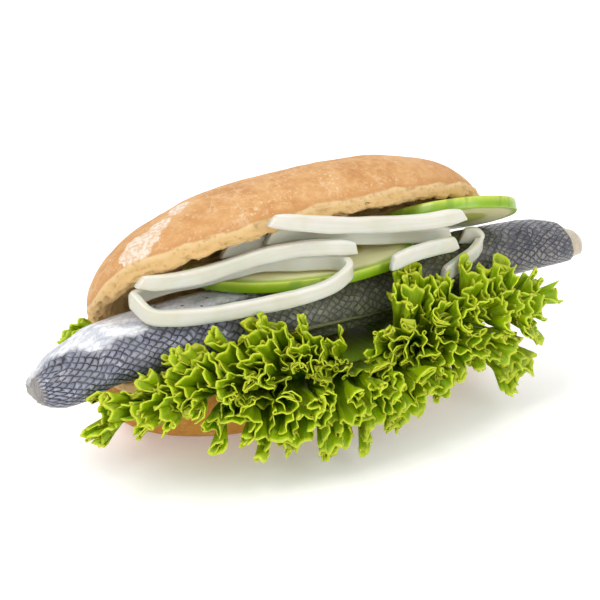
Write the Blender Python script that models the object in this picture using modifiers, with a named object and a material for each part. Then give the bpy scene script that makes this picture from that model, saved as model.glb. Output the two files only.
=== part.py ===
"""Bismarck herring roll: a crusty roll filled with herring, lettuce, cucumber and onion.

Metres. +X runs along the roll to the tail end of the fish, -Y is the open front and +Z is up.
The origin is the centre of the flat underside of the lower half of the roll.
"""

import math

import bmesh
import bpy
import numpy as np
from mathutils import Vector, noise

MM = 0.001

# The roll
LOWER_LENGTH = 0.134
LOWER_WIDTH = 0.065
ROLL_SQUARENESS = 2.3
UPPER_LENGTH = 0.133
UPPER_WIDTH = 0.068
UPPER_HEIGHT = 0.024
UPPER_TILT = math.radians(44)
UPPER_CENTRE = (-0.003, -0.006, 0.047)
CRUST_RELIEF = 0.0004
CRUMB_RELIEF = 0.0007
ROLL_AROUND = 40
# How far out each ring of the roll is, as a share, and its height above that half's own base
LOWER_CRUST = ((0.62, 0), (0.76, 0.0011), (0.88, 0.0045), (0.96, 0.010), (1.0, 0.0155), (0.992, 0.019))
LOWER_FACE = ((0.965, 0.0225), (0.86, 0.0221), (0.6, 0.0215), (0.3, 0.0215))
UPPER_CRUST = (0.12, 0.3, 0.5, 0.68, 0.82, 0.91, 0.965, 1.0)
UPPER_FACE = (
    (0.985, -0.001), (0.95, -0.0012), (0.90, 0.00075), (0.83, 0.00525), (0.65, 0.0075), (0.3, 0.0075),
)

# The herring: x, y, z, half depth and half height of its section, in mm
HERRING = (
    (-96.8, -20, 33.0, 5.0, 3.8),
    (-93.5, -20, 32.8, 7.4, 5.8),
    (-89, -20, 33.8, 10.2, 7.8),
    (-81, -20, 35.8, 11.6, 8.8),
    (-72, -20, 38.2, 12.4, 9.2),
    (-40, -20, 38.2, 13.6, 9.9),
    (0, -20, 36.9, 14.2, 10.3),
    (40, -20, 37.4, 13.2, 9.7),
    (64, -20, 38.0, 11.0, 8.6),
    (80, -20, 37.2, 9.6, 7.6),
    (88.5, -20, 35.6, 8.2, 6.6),
)
FISH_STATIONS = 27
FISH_AROUND = 16
# The pale flesh at the tail end: x in mm and size against the last station
TAIL_FLESH = ((88.5, 0.80), (91.0, 0.78), (94.5, 0.64), (96.6, 0.38))
TAIL_DROP = 0.25
SEAM_DEPTH = 0.0016

# Cucumber slices: centre, half length, half width, turn about z, tilt to the front, degrees
SLICE_THICKNESS = 0.0036
SLICE_AROUND = 24
SLICE_SAG = 0.044
SLICE_RINGS = ((0.35, 1), (0.75, 1), (0.985, 1), (1, 0.8), (1, -0.8), (0.985, -1), (0.75, -1), (0.35, -1))
FRONT_SLICE = ((-0.006, -0.0166, 0.0515), 0.036, 0.0170, -13, 4)
BACK_SLICE = ((0.0446, -0.0212, 0.0556), 0.0215, 0.0180, -17, -34)

# Onion strips: the middle of each, in mm. The front one is a whole ring
STRIP_HEIGHT = 0.0049
STRIP_THICKNESS = 0.0025
STRIP_SECTION = ((-1, -0.8), (-1, 0.8), (0, 1), (1, 0.8), (1, -0.8), (0, -1))
STRIPS = {
    "onion_ring": (
        (-64.8, -21, 53.8), (-62.7, -27, 50.7), (-57.5, -30, 49.9), (-46.2, -32, 48.8),
        (-32.7, -34.5, 49), (-18.6, -37.9, 50.2), (-8.5, -38.6, 51.6), (-2.3, -38, 54.8),
        (-3.1, -32.6, 55.6), (-13.3, -28.5, 56.1), (-23.6, -23.9, 56.4), (-32.1, -22.8, 56),
        (-41.9, -19.3, 54.3), (-49.9, -16.5, 53.2), (-57.1, -17, 53.2),
    ),
    "onion_left": (
        (-64.3, -24.4, 60.6), (-57.5, -24.6, 58.9), (-45.3, -25.6, 58.5), (-33.9, -26.6, 59.7),
        (-25.7, -28, 60.9), (-14.3, -30.6, 61.5), (-6.4, -34.3, 61.6), (1.8, -34.9, 59.8),
    ),
    "onion_middle": (
        (-34.8, -21.2, 61.9), (-22.6, -21.8, 62.3), (-7.4, -24, 61.3), (7.2, -27, 59.2),
        (23.4, -29, 56.5), (38.9, -30, 54.1),
    ),
    "onion_short": ((-22, -24.8, 64.6), (-14.8, -25.4, 64.8), (-5.5, -27, 64.2), (2.4, -28.4, 63.2)),
    "onion_top": (
        (-25.6, -33, 73.8), (-16.7, -34, 71.5), (-4.1, -34, 68), (15.2, -34, 63.9),
        (28, -35.5, 62.6), (39.1, -37.1, 62.7),
    ),
    "onion_right_curl": (
        (46.3, -26, 49.6), (49.7, -28, 50.2), (50.2, -30, 48.2), (45.5, -33, 46.7),
        (38.6, -35, 45.5), (32.8, -36, 43.6),
    ),
    "onion_right": ((37.2, -36, 53.4), (26.3, -38, 54.8), (17.7, -39, 54.9), (12.1, -39, 53.6)),
}
STRIP_STATIONS = {"onion_ring": 26, "onion_left": 16, "onion_short": 8, "onion_right": 8}

# Lettuce, in mm: the middle of each leaf's frilled margin, where it leaves the roll, and its held end
LEAF_THICKNESS = 0.0008
LEAF_ROWS = (0, 0.3, 0.66, 1.0)
LIP = 0.3
LEAVES = {
    "lettuce_left": dict(
        edge=(
            (-89.1, -34, 24.6), (-83.5, -38, 26.7), (-76.3, -42, 30.3), (-67.7, -44, 34.2),
            (-57.2, -45.5, 38.3), (-46, -46, 40.3), (-34.3, -46, 41.1), (-22.5, -46, 38.6),
            (-11.2, -46, 33.1),
        ),
        lip=(
            (-66, -27, 26.2), (-58, -34, 26.2), (-45, -37.5, 26.2), (-26, -37.5, 26.2),
            (-4, -37.5, 26.2),
        ),
        root=((-50, -14, 26), (-30, -10, 26), (-8, -9, 26)),
        waves=4.9, reach=(4, 8, 11, 12, 12, 11, 10, 8), curl=(2.8, 10.5), count=116, turn=0.0,
    ),
    "lettuce_right": dict(
        edge=(
            (8.8, -44, 49.6), (17.4, -46, 46.6), (29.5, -47, 42.5), (42.4, -47, 40.3),
            (57.2, -45, 33.8), (68.4, -43, 24.2),
        ),
        lip=((14, -38, 27.4), (32, -38, 27.4), (52, -36, 27.4), (60, -31, 27.4)),
        root=((14, -11, 27.2), (32, -10, 27.2), (48, -11, 27.2)),
        waves=3.8, reach=(9, 10, 11, 12, 12, 12), curl=(2.8, 10.5), count=96, turn=0.0,
    ),
    "lettuce_low_right": dict(
        edge=(
            (-3.4, -48.5, 31.5), (7.3, -51, 31), (17.4, -53, 28.6), (28.7, -54, 26), (42.5, -53, 21),
            (53.4, -51, 12.9), (51.4, -49, 4.3),
        ),
        lip=((14, -38, 25.6), (26, -38, 25.6), (40, -36, 25.6), (48, -33, 25.6)),
        root=((14, -11, 25.6), (26, -10, 25.6), (40, -11, 25.6)),
        waves=3.6, reach=(6.4, 8.3, 8.3, 8.3, 8.3, 7.4, 5.5), curl=(2.6, 10), count=84, turn=3.0,
    ),
    "lettuce_front": dict(
        edge=(
            (-57.2, -48, 25.1), (-49.3, -54, 23.7), (-38.5, -58, 19.9), (-27.9, -60, 17.8),
            (-16, -60, 17), (-3.1, -59, 17.3), (11.3, -56, 15.9), (26.4, -51, 14),
        ),
        lip=((-44, -36, 23.8), (-18, -37.5, 23.8), (10, -37, 23.8), (28, -36, 23.8)),
        root=((-40, -11, 23.8), (-10, -10, 23.8), (24, -11, 23.8)),
        waves=5.4, reach=(8, 9, 11.5, 12.5, 12.5, 12, 10, 6), curl=(2.8, 10.5), count=146, turn=0.0,
    ),
    "lettuce_back_left": dict(
        edge=((-71.4, 14, 26.8), (-66, 18, 28.7), (-57, 22, 28.9), (-47.4, 24, 28.4)),
        lip=((-58, 8, 24.6), (-53, 13, 24.6), (-47, 17, 24.6), (-41, 19, 24.6)),
        root=((-46, 0, 24.3), (-42, 4, 24.3), (-34, 9, 24.3)),
        waves=2, reach=(2.5, 3.5, 3.5, 2.5), curl=(1.8, 8), count=36, turn=0.0,
    ),
}


def material(name, colour, roughness):
    found = bpy.data.materials.new(name)
    found.use_nodes = True
    shader = found.node_tree.nodes["Principled BSDF"]
    shader.inputs["Base Color"].default_value = (*colour, 1)
    shader.inputs["Roughness"].default_value = roughness
    shader.inputs["Metallic"].default_value = 0
    return found


def add(name, points, faces, finish, smooth=True):
    """A closed mesh object from points and faces, turned to face outwards."""
    mesh = bpy.data.meshes.new(name)
    mesh.from_pydata([tuple(p) for p in points], [], faces)
    shell = bmesh.new()
    shell.from_mesh(mesh)
    bmesh.ops.recalc_face_normals(shell, faces=shell.faces)
    shell.to_mesh(mesh)
    shell.free()
    mesh.materials.append(finish)
    mesh.polygons.foreach_set("use_smooth", [smooth] * len(mesh.polygons))
    made = bpy.data.objects.new(name, mesh)
    roll.objects.link(made)
    return made


def loft(rings):
    """Points and faces through closed rings of equal count, both ends closed to a centre point."""
    rings = np.asarray(rings, float)
    count, around = rings.shape[:2]
    points = list(rings.reshape(-1, 3))
    faces = []
    for i in range(count - 1):
        for j in range(around):
            k = (j + 1) % around
            faces.append((i * around + j, i * around + k, (i + 1) * around + k, (i + 1) * around + j))
    for row in (0, count - 1):
        points.append(rings[row].mean(axis=0))
        centre = len(points) - 1
        for j in range(around):
            faces.append((row * around + j, row * around + (j + 1) % around, centre))
    return points, faces


def curve(points, count):
    """A smooth run of count points through the given ones, by Catmull-Rom, evenly spaced."""
    given = np.asarray(points, float)
    given = np.vstack([2 * given[0] - given[1], given, 2 * given[-1] - given[-2]])
    out = []
    for i in range(1, len(given) - 2):
        a, b, c, d = given[i - 1 : i + 3]
        for t in np.linspace(0, 1, 24, endpoint=False):
            cubic = (2 * a - 5 * b + 4 * c - d) * t**2 + (3 * b - a - 3 * c + d) * t**3
            out.append(0.5 * (2 * b + (c - a) * t + cubic))
    out.append(given[-2])
    out = np.array(out)
    run = np.concatenate([[0], np.cumsum(np.linalg.norm(np.diff(out, axis=0), axis=1))])
    even = np.linspace(0, run[-1], count)
    return np.stack([np.interp(even, run, out[:, k]) for k in range(out.shape[1])], axis=1)


def plan(angle, length, width):
    c, s = math.cos(angle), math.sin(angle)
    reach = (abs(c) ** ROLL_SQUARENESS + abs(s) ** ROLL_SQUARENESS) ** (-1 / ROLL_SQUARENESS)
    return length / 2 * c * reach, width / 2 * s * reach


def bumps(x, y, z, size):
    return noise.noise(Vector((x, y, z)) / size)


def ring_of(reach, length, width):
    """Points round the roll's outline, drawn in to a share of its size."""
    turns = [2 * math.pi * j / ROLL_AROUND for j in range(ROLL_AROUND)]
    return [(x * reach, y * reach) for x, y in (plan(turn, length, width) for turn in turns)]


def bun_bottom():
    rings = []
    for reach, z in LOWER_CRUST:
        ring = []
        for x, y in ring_of(reach, LOWER_LENGTH, LOWER_WIDTH):
            swell = 1 + CRUST_RELIEF * 2 / LOWER_WIDTH * bumps(x, y, z, 0.012) * (z > 0)
            ring.append((x * swell, y * swell, z))
        rings.append(ring)
    for reach, z in LOWER_FACE:
        face = ring_of(reach, LOWER_LENGTH, LOWER_WIDTH)
        rings.append([(x, y, z + CRUMB_RELIEF * 0.6 * bumps(x, y, 0.1, 0.006)) for x, y in face])
    return add("bun_bottom", *loft(rings), material("bread", (0.60, 0.33, 0.10), 0.75))


def upper_place(x, y, z):
    c, s = math.cos(UPPER_TILT), math.sin(UPPER_TILT)
    return (x + UPPER_CENTRE[0], y * c + z * s + UPPER_CENTRE[1], z * c - y * s + UPPER_CENTRE[2])


def bun_top():
    rings = []
    for reach in UPPER_CRUST:
        height = UPPER_HEIGHT * (1 - reach**2.6) ** 0.5
        ring = []
        for x, y in ring_of(reach, UPPER_LENGTH, UPPER_WIDTH):
            lift = CRUST_RELIEF * 2 * bumps(x, y, height, 0.012)
            ring.append(upper_place(x, y, height + lift * (reach < 1)))
        rings.append(ring)
    for reach, deep in UPPER_FACE:
        face = ring_of(reach, UPPER_LENGTH, UPPER_WIDTH)
        rings.append([upper_place(x, y, deep + CRUMB_RELIEF * bumps(x, y, 0.3, 0.005)) for x, y in face])
    return add("bun_top", *loft(rings), material("crust", (0.78, 0.48, 0.24), 0.6))


def herring():
    """The fillet, with the seam where its two sides meet and a stump of pale flesh at the tail."""
    stations = curve(HERRING, FISH_STATIONS) * MM
    rings = []
    for x, y, z, deep, high in stations:
        middle = math.exp(-((x / MM - 8) / 34) ** 2)
        ring = []
        for j in range(FISH_AROUND):
            a = 2 * math.pi * j / FISH_AROUND
            out = 1 - SEAM_DEPTH / deep * middle * math.exp(-((a - math.pi * 1.11) / 0.22) ** 2)
            flat = 0.86 if math.sin(a) < 0 else 1.0
            ring.append((x, y + deep * math.cos(a) * out, z + high * math.sin(a) * flat * out))
        rings.append(ring)
    tail = np.array(rings[-1])
    middle = tail.mean(axis=0)
    for x, size in TAIL_FLESH:
        ring = middle + (tail - middle) * size
        ring[:, 0] = x * MM
        ring[:, 2] -= (x - TAIL_FLESH[0][0]) * TAIL_DROP * MM
        rings.append(ring)
    return add("herring", *loft(rings), material("fish_skin", (0.26, 0.28, 0.30), 0.3))


def slice_of(name, centre, half_length, half_width, turn, tilt):
    """An oval slice that drapes down at the back, where it lies over the fish."""
    turn, tilt = math.radians(turn), math.radians(tilt)
    rings = []
    for reach, level in SLICE_RINGS:
        ring = []
        for j in range(SLICE_AROUND):
            a = 2 * math.pi * j / SLICE_AROUND
            x, y = half_length * reach * math.cos(a), half_width * reach * math.sin(a)
            drop = max(0.0, y + 0.004) ** 2 / SLICE_SAG if tilt > 0 else 0.0
            h = SLICE_THICKNESS / 2 * level - drop
            y, h = y * math.cos(tilt) - h * math.sin(tilt), h * math.cos(tilt) + y * math.sin(tilt)
            x, y = x * math.cos(turn) - y * math.sin(turn), x * math.sin(turn) + y * math.cos(turn)
            ring.append((x + centre[0], y + centre[1], h + centre[2]))
        rings.append(ring)
    return add(name, *loft(rings), slice_finish)


def ruffled(edge, lip, root, waves, reach, curl, count, turn=0.0):
    """The middle surface of a frilled leaf, as rows of points from its root to its margin.

    edge, lip and root are runs of points in mm: the middle of the frilled margin, where the leaf
    leaves the roll, and its held end. waves is the count of large folds, reach their half height
    along the leaf, and curl the half height and length of the small folds.
    """
    s = np.linspace(0, 1, count)
    edge, lip, root = curve(edge, count), curve(lip, count), curve(root, count)
    reach = np.interp(s, np.linspace(0, 1, len(reach)), reach)
    along = np.gradient(edge, axis=0)
    along /= np.linalg.norm(along, axis=1)[:, None]
    out = edge - lip
    out -= (out * along).sum(axis=1)[:, None] * along
    out /= np.linalg.norm(out, axis=1)[:, None]
    across = np.cross(along, out)
    run = np.concatenate([[0], np.cumsum(np.linalg.norm(np.diff(edge, axis=0), axis=1))])
    theta = 2 * math.pi * waves * (s + 0.03 * np.sin(11 * s + turn)) + turn
    large_p, large_q = run + 0.25 * reach * np.sin(2 * theta), reach * np.sin(theta)
    length = np.concatenate([[0], np.cumsum(np.hypot(np.diff(large_p), np.diff(large_q)))])
    phi = 2 * math.pi * length / curl[1]
    surface = []
    for v in LEAF_ROWS:
        free = max(0.0, (v - LIP) / (1 - LIP))
        base = root + (lip - root) * min(1, v / LIP) + (edge - lip) * free
        large, small = free**1.15, curl[0] * max(0.0, (free - 0.2) / 0.8)
        p, q = run + (large_p - run) * large, large_q * large
        dp, dq = np.gradient(p), np.gradient(q)
        size = np.hypot(dp, dq)
        wave, bulge = small * np.sin(phi), small * 0.3 * np.sin(2 * phi)
        p2 = p - run + (bulge * dp - wave * dq) / size
        q2 = q + (bulge * dq + wave * dp) / size
        lift = small * 0.45 * np.cos(phi) + 0.1 * reach * large * np.cos(2 * theta + 1)
        surface.append(base + along * p2[:, None] + across * q2[:, None] + out * lift[:, None])
    return np.array(surface) * MM


def leaf(name, **shape):
    """A frilled leaf: its middle surface in triangles, given an even thickness."""
    rows = ruffled(**shape)
    high, wide = rows.shape[:2]
    faces = []
    for i in range(high - 1):
        for j in range(wide - 1):
            a, b = i * wide + j, i * wide + j + 1
            c, d = b + wide, a + wide
            faces += [(a, b, c), (a, c, d)]
    mesh = bpy.data.meshes.new(name)
    mesh.from_pydata([tuple(p) for p in rows.reshape(-1, 3)], [], faces)
    mesh.materials.append(leaf_finish)
    mesh.polygons.foreach_set("use_smooth", [True] * len(mesh.polygons))
    made = bpy.data.objects.new(name, mesh)
    roll.objects.link(made)
    thick = made.modifiers.new("Thickness", "SOLIDIFY")
    thick.thickness = LEAF_THICKNESS
    thick.offset = 0
    return made


def strip(name, path, count, closed=False):
    """A strip of onion along a run of points in mm, its section standing up."""
    path = np.asarray(path, float) * MM
    if closed:
        path = np.vstack([path, path[:1]])
    line = curve(path, count + closed)
    along = np.gradient(line, axis=0)
    if closed:
        line = line[:-1]
        along = np.roll(line, -1, axis=0) - np.roll(line, 1, axis=0)
    along /= np.linalg.norm(along, axis=1)[:, None]
    section = [(STRIP_HEIGHT / 2 * h, STRIP_THICKNESS / 2 * t) for h, t in STRIP_SECTION]
    rings = []
    for point, ahead in zip(line, along):
        up = np.array([0, 0, 1.0]) - ahead * ahead[2]
        up /= np.linalg.norm(up)
        side = np.cross(ahead, up)
        rings.append([point + up * h + side * t for h, t in section])
    if not closed:
        return add(name, *loft(rings), onion_finish)
    rings = np.array(rings)
    around = len(section)
    faces = []
    for i in range(len(rings)):
        for j in range(around):
            k, n = (j + 1) % around, (i + 1) % len(rings)
            faces.append((i * around + j, i * around + k, n * around + k, n * around + j))
    return add(name, rings.reshape(-1, 3), faces, onion_finish)


for old in list(bpy.data.objects):
    bpy.data.objects.remove(old)
roll = bpy.data.collections.new("bismarck_herring_roll")
bpy.context.scene.collection.children.link(roll)
slice_finish = material("cucumber", (0.52, 0.60, 0.26), 0.35)
leaf_finish = material("lettuce", (0.22, 0.38, 0.03), 0.35)
onion_finish = material("onion", (0.72, 0.74, 0.62), 0.3)

bun_bottom()
bun_top()
herring()
slice_of("cucumber_front", *FRONT_SLICE)
slice_of("cucumber_back", *BACK_SLICE)
for strip_name, run_of in STRIPS.items():
    strip(strip_name, run_of, STRIP_STATIONS.get(strip_name, 13), closed=strip_name == "onion_ring")
for leaf_name, shape in LEAVES.items():
    leaf(leaf_name, **shape)
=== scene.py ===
"""Looks of the Bismarck herring roll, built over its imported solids. Metres, +Z up, -Y the open front.

Every piece keeps the form of its solid and adds what the solid leaves out: blisters and flour on
the crust, pores in the crumb, the net of scales, rind and seeds, and the fine frills of the leaves.
"""

import math

import bmesh
import bpy
import numpy as np
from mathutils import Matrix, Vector, noise


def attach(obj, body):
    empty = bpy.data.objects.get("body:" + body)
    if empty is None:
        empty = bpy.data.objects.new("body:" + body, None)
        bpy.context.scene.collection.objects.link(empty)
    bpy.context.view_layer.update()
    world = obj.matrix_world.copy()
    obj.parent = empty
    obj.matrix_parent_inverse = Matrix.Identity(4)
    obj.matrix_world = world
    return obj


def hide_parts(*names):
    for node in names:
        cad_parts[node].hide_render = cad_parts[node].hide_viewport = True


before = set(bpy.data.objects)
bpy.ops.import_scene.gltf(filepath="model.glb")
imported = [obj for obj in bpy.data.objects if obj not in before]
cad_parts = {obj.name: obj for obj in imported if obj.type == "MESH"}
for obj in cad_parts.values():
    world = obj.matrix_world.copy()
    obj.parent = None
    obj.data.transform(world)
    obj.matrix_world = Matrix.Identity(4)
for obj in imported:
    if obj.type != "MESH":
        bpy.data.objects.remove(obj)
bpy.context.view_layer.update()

MM = 0.001

# The photograph's camera
AZIMUTH, ELEVATION = math.radians(-32), math.radians(25)
LENS, DISTANCE = 150, 0.7576
TARGET = Vector((-0.003, -0.012, 0.035))
SENSOR = 36

# Soft light. Lamps: turn round the roll and height in degrees, distance and width in metres, watts, colour
WORLD_LIGHT = 0.72
LIGHTS = {
    "key": (-75, 48, 1.1, 0.5, 5.0, (1.0, 0.99, 0.97)),
    "fill": (10, 28, 1.3, 0.8, 4.6, (1.0, 1.0, 1.0)),
    "back": (150, 50, 1.2, 0.6, 2.6, (1.0, 1.0, 1.0)),
}

# The roll, as in the solids: the levels of the lower half's crust and of the upper half's cut face
# are each a share of the plan and a height
LOWER_LENGTH, LOWER_WIDTH, LOWER_HEIGHT = 0.134, 0.065, 0.0225
UPPER_LENGTH, UPPER_WIDTH, UPPER_HEIGHT = 0.133, 0.068, 0.024
ROLL_SQUARENESS = 2.3
UPPER_TILT = math.radians(44)
UPPER_CENTRE = (-0.003, -0.006, 0.047)
CRUST_RELIEF, CRUMB_RELIEF = 0.0004, 0.0007
LOWER_LEVELS = (
    (0.62, 0), (0.76, 0.0011), (0.88, 0.0045), (0.96, 0.010), (1.0, 0.0155), (0.992, 0.019),
    (0.965, 0.0225),
)
FLAT_SHARE = LOWER_LEVELS[0][0]
UPPER_FACE = (
    (0.985, -0.0010), (0.95, -0.0012), (0.90, 0.00075), (0.83, 0.00525), (0.65, 0.0075), (0.3, 0.0075),
)
UPPER_AROUND, LOWER_AROUND = 340, 300

# Runs of rings, each from, to and how many: angles from the top of the dome, shares of the cut face
DOME_RINGS = (0.04, 1.35, 56), (1.37, math.pi / 2, 34)
FACE_RINGS = (0.998, 0.9, 22), (0.895, 0.6, 34), (0.58, 0.04, 22)
CUT_LEVEL = 0.0205
CUT_DEEP = 0.003

# Traces of flour on the upper half: centres and sizes on it before it is tilted
UPPER_FLOUR = (
    ((-0.0545, -0.0175, 0.0085), (0.0105, 0.0052, 0.0052)),
    ((-0.0465, -0.0190, 0.0125), (0.0055, 0.0028, 0.0035)),
    ((-0.0392, -0.0186, 0.0166), (0.0040, 0.0028, 0.0030)),
)

# The herring: x, y, z, half depth and half height of its section, in mm
HERRING = (
    (-96.8, -20, 33.0, 5.0, 3.8), (-93.5, -20, 32.8, 7.4, 5.8), (-89, -20, 33.8, 10.2, 7.8),
    (-81, -20, 35.8, 11.6, 8.8), (-72, -20, 38.2, 12.4, 9.2), (-40, -20, 38.2, 13.6, 9.9),
    (0, -20, 36.9, 14.2, 10.3), (40, -20, 37.4, 13.2, 9.7), (64, -20, 38.0, 11.0, 8.6),
    (80, -20, 37.2, 9.6, 7.6), (88.5, -20, 35.6, 8.2, 6.6),
)
TAIL_FLESH = ((88.5, 0.80), (91.0, 0.78), (94.5, 0.64), (96.6, 0.38))
TAIL_DROP = 0.25
HERRING_AROUND, HERRING_ALONG, TAIL_ALONG = 208, 344, 26
BELLY_FLAT = 0.86
SEAM_DEPTH = 0.0016
SEAM_MIDDLE, SEAM_REACH, SEAM_TURN = 8, 34, 1.11
SCALES_AROUND = 27
SCALE_ROW, FIRST_ROW = 0.0016, 200

# Cucumber slices: centre, half length, half width, turn about z and tilt in degrees
SLICE_THICKNESS = 0.0036
SLICE_AROUND = 180
SLICE_SAG = 0.044
SEED_ZONE = (0.18, 0.46)
MOST_SEEDS = 220000.0
SLICES = {
    "cucumber_front": ((-0.006, -0.0166, 0.0515), 0.036, 0.0170, -13, 4),
    "cucumber_back": ((0.0446, -0.0212, 0.0556), 0.0215, 0.0180, -17, -34),
}

# Onion strips: the middle of each, in mm. The front one is a whole ring
STRIP_HEIGHT, STRIP_THICKNESS = 0.0049, 0.0025
STRIP_SQUARENESS, STRIP_AROUND = 4.5, 28
STRIP_ALONG, RING_ALONG = 130, 220
STRIP_CUT = 0.0011
STRIPS = {
    "onion_ring": (
        (-64.8, -21, 53.8), (-62.7, -27, 50.7), (-57.5, -30, 49.9), (-46.2, -32, 48.8),
        (-32.7, -34.5, 49), (-18.6, -37.9, 50.2), (-8.5, -38.6, 51.6), (-2.3, -38, 54.8),
        (-3.1, -32.6, 55.6), (-13.3, -28.5, 56.1), (-23.6, -23.9, 56.4), (-32.1, -22.8, 56),
        (-41.9, -19.3, 54.3), (-49.9, -16.5, 53.2), (-57.1, -17, 53.2),
    ),
    "onion_left": (
        (-64.3, -24.4, 60.6), (-57.5, -24.6, 58.9), (-45.3, -25.6, 58.5), (-33.9, -26.6, 59.7),
        (-25.7, -28, 60.9), (-14.3, -30.6, 61.5), (-6.4, -34.3, 61.6), (1.8, -34.9, 59.8),
    ),
    "onion_middle": (
        (-34.8, -21.2, 61.9), (-22.6, -21.8, 62.3), (-7.4, -24, 61.3), (7.2, -27, 59.2), (23.4, -29, 56.5),
        (38.9, -30, 54.1),
    ),
    "onion_short": ((-22, -24.8, 64.6), (-14.8, -25.4, 64.8), (-5.5, -27, 64.2), (2.4, -28.4, 63.2)),
    "onion_top": (
        (-25.6, -33, 73.8), (-16.7, -34, 71.5), (-4.1, -34, 68), (15.2, -34, 63.9), (28, -35.5, 62.6),
        (39.1, -37.1, 62.7),
    ),
    "onion_right_curl": (
        (46.3, -26, 49.6), (49.7, -28, 50.2), (50.2, -30, 48.2), (45.5, -33, 46.7), (38.6, -35, 45.5),
        (32.8, -36, 43.6),
    ),
    "onion_right": ((37.2, -36, 53.4), (26.3, -38, 54.8), (17.7, -39, 54.9), (12.1, -39, 53.6)),
}

# Lettuce. The lip, where a leaf leaves the roll, is this share of the way from its held end
LIP = 0.3
LEAF_FINE = 0.00035
LEAF_ROWS, COLUMNS_A_COUNT = 11, 6

# Height and length in mm of the finest frill
FRILL = (0.6, 5.0)

# Each leaf's margin, then its side frills: how far out, mm higher, then the folds' height, turn,
# flare and number, and the size of their cups
TIERS = (
    (1.0, 0.0, 1.0, 0.0, 1.15, 1.0, 1.0),
    (0.95, 0.6, 0.88, 3.14, 1.3, 1.0, 1.1),
    (0.74, 1.8, 0.7, 1.6, 1.6, 0.7, 1.2),
    (0.52, 3.0, 0.6, 4.2, 1.6, 0.75, 1.1),
)

# In mm: the middle of each leaf's frilled margin, where it leaves the roll, and its held end
LEAVES = {
    "lettuce_left": dict(
        edge=(
            (-89.1, -34, 24.6), (-83.5, -38, 26.7), (-76.3, -42, 30.3), (-67.7, -44, 34.2),
            (-57.2, -45.5, 38.3), (-46, -46, 40.3), (-34.3, -46, 41.1), (-22.5, -46, 38.6),
            (-11.2, -46, 33.1),
        ),
        lip=(
            (-66, -27, 26.2), (-58, -34, 26.2), (-45, -37.5, 26.2), (-26, -37.5, 26.2),
            (-4, -37.5, 26.2),
        ),
        root=((-50, -14, 26), (-30, -10, 26), (-8, -9, 26)),
        waves=4.9, reach=(4, 8, 11, 12, 12, 11, 10, 8), curl=(2.8, 10.5), count=116, turn=0.0,
    ),
    "lettuce_right": dict(
        edge=(
            (8.8, -44, 49.6), (17.4, -46, 46.6), (29.5, -47, 42.5), (42.4, -47, 40.3),
            (57.2, -45, 33.8), (68.4, -43, 24.2),
        ),
        lip=((14, -38, 27.4), (32, -38, 27.4), (52, -36, 27.4), (60, -31, 27.4)),
        root=((14, -11, 27.2), (32, -10, 27.2), (48, -11, 27.2)),
        waves=3.8, reach=(9, 10, 11, 12, 12, 12), curl=(2.8, 10.5), count=96, turn=0.0,
    ),
    "lettuce_low_right": dict(
        edge=(
            (-3.4, -48.5, 31.5), (7.3, -51, 31), (17.4, -53, 28.6), (28.7, -54, 26), (42.5, -53, 21),
            (53.4, -51, 12.9), (51.4, -49, 4.3),
        ),
        lip=((14, -38, 25.6), (26, -38, 25.6), (40, -36, 25.6), (48, -33, 25.6)),
        root=((14, -11, 25.6), (26, -10, 25.6), (40, -11, 25.6)),
        waves=3.6, reach=(6.4, 8.3, 8.3, 8.3, 8.3, 7.4, 5.5), curl=(2.6, 10), count=84, turn=3.0,
    ),
    "lettuce_front": dict(
        edge=(
            (-57.2, -48, 25.1), (-49.3, -54, 23.7), (-38.5, -58, 19.9), (-27.9, -60, 17.8),
            (-16, -60, 17), (-3.1, -59, 17.3), (11.3, -56, 15.9), (26.4, -51, 14),
        ),
        lip=((-44, -36, 23.8), (-18, -37.5, 23.8), (10, -37, 23.8), (28, -36, 23.8)),
        root=((-40, -11, 23.8), (-10, -10, 23.8), (24, -11, 23.8)),
        waves=5.4, reach=(8, 9, 11.5, 12.5, 12.5, 12, 10, 6), curl=(2.8, 10.5), count=146, turn=0.0,
    ),
    "lettuce_back_left": dict(
        edge=((-71.4, 14, 26.8), (-66, 18, 28.7), (-57, 22, 28.9), (-47.4, 24, 28.4)),
        lip=((-58, 8, 24.6), (-53, 13, 24.6), (-47, 17, 24.6), (-41, 19, 24.6)),
        root=((-46, 0, 24.3), (-42, 4, 24.3), (-34, 9, 24.3)),
        waves=2, reach=(2.5, 3.5, 3.5, 2.5), curl=(1.8, 8), count=36, turn=0.0,
    ),
}


def linear(level):
    """One display value from 0 to 255 as linear light."""
    share = level / 255
    return ((share + 0.055) / 1.055) ** 2.4 if share > 0.04045 else share / 12.92


def srgb(red, green, blue):
    """A colour given as display values from 0 to 255."""
    return linear(red), linear(green), linear(blue)


def operator(operation, swapped=False):
    """A method that adds a Math node for this operation."""

    def method(self, *others):
        values = (self, *others)
        return calc(self.tree, operation, *(values[::-1] if swapped else values))

    return method


class Value:
    """A socket of a node tree. Arithmetic on it adds Math nodes to that tree."""

    def __init__(self, tree, socket):
        self.tree = tree
        self.socket = socket

    __add__ = __radd__ = operator("ADD")
    __sub__, __rsub__ = operator("SUBTRACT"), operator("SUBTRACT", swapped=True)
    __mul__ = __rmul__ = operator("MULTIPLY")
    __truediv__, __pow__, __mod__ = operator("DIVIDE"), operator("POWER"), operator("FLOORED_MODULO")
    __lt__, __gt__ = operator("LESS_THAN"), operator("GREATER_THAN")
    __abs__, __floor__ = operator("ABSOLUTE"), operator("FLOOR")


def feed(tree, socket, value):
    """Links a Value to a socket, or sets the socket to a plain number, colour or material."""
    if isinstance(value, Value):
        tree.links.new(value.socket, socket)
    elif isinstance(value, tuple) and socket.type == "RGBA":
        socket.default_value = (*value[:3], 1)
    else:
        socket.default_value = value


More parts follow.
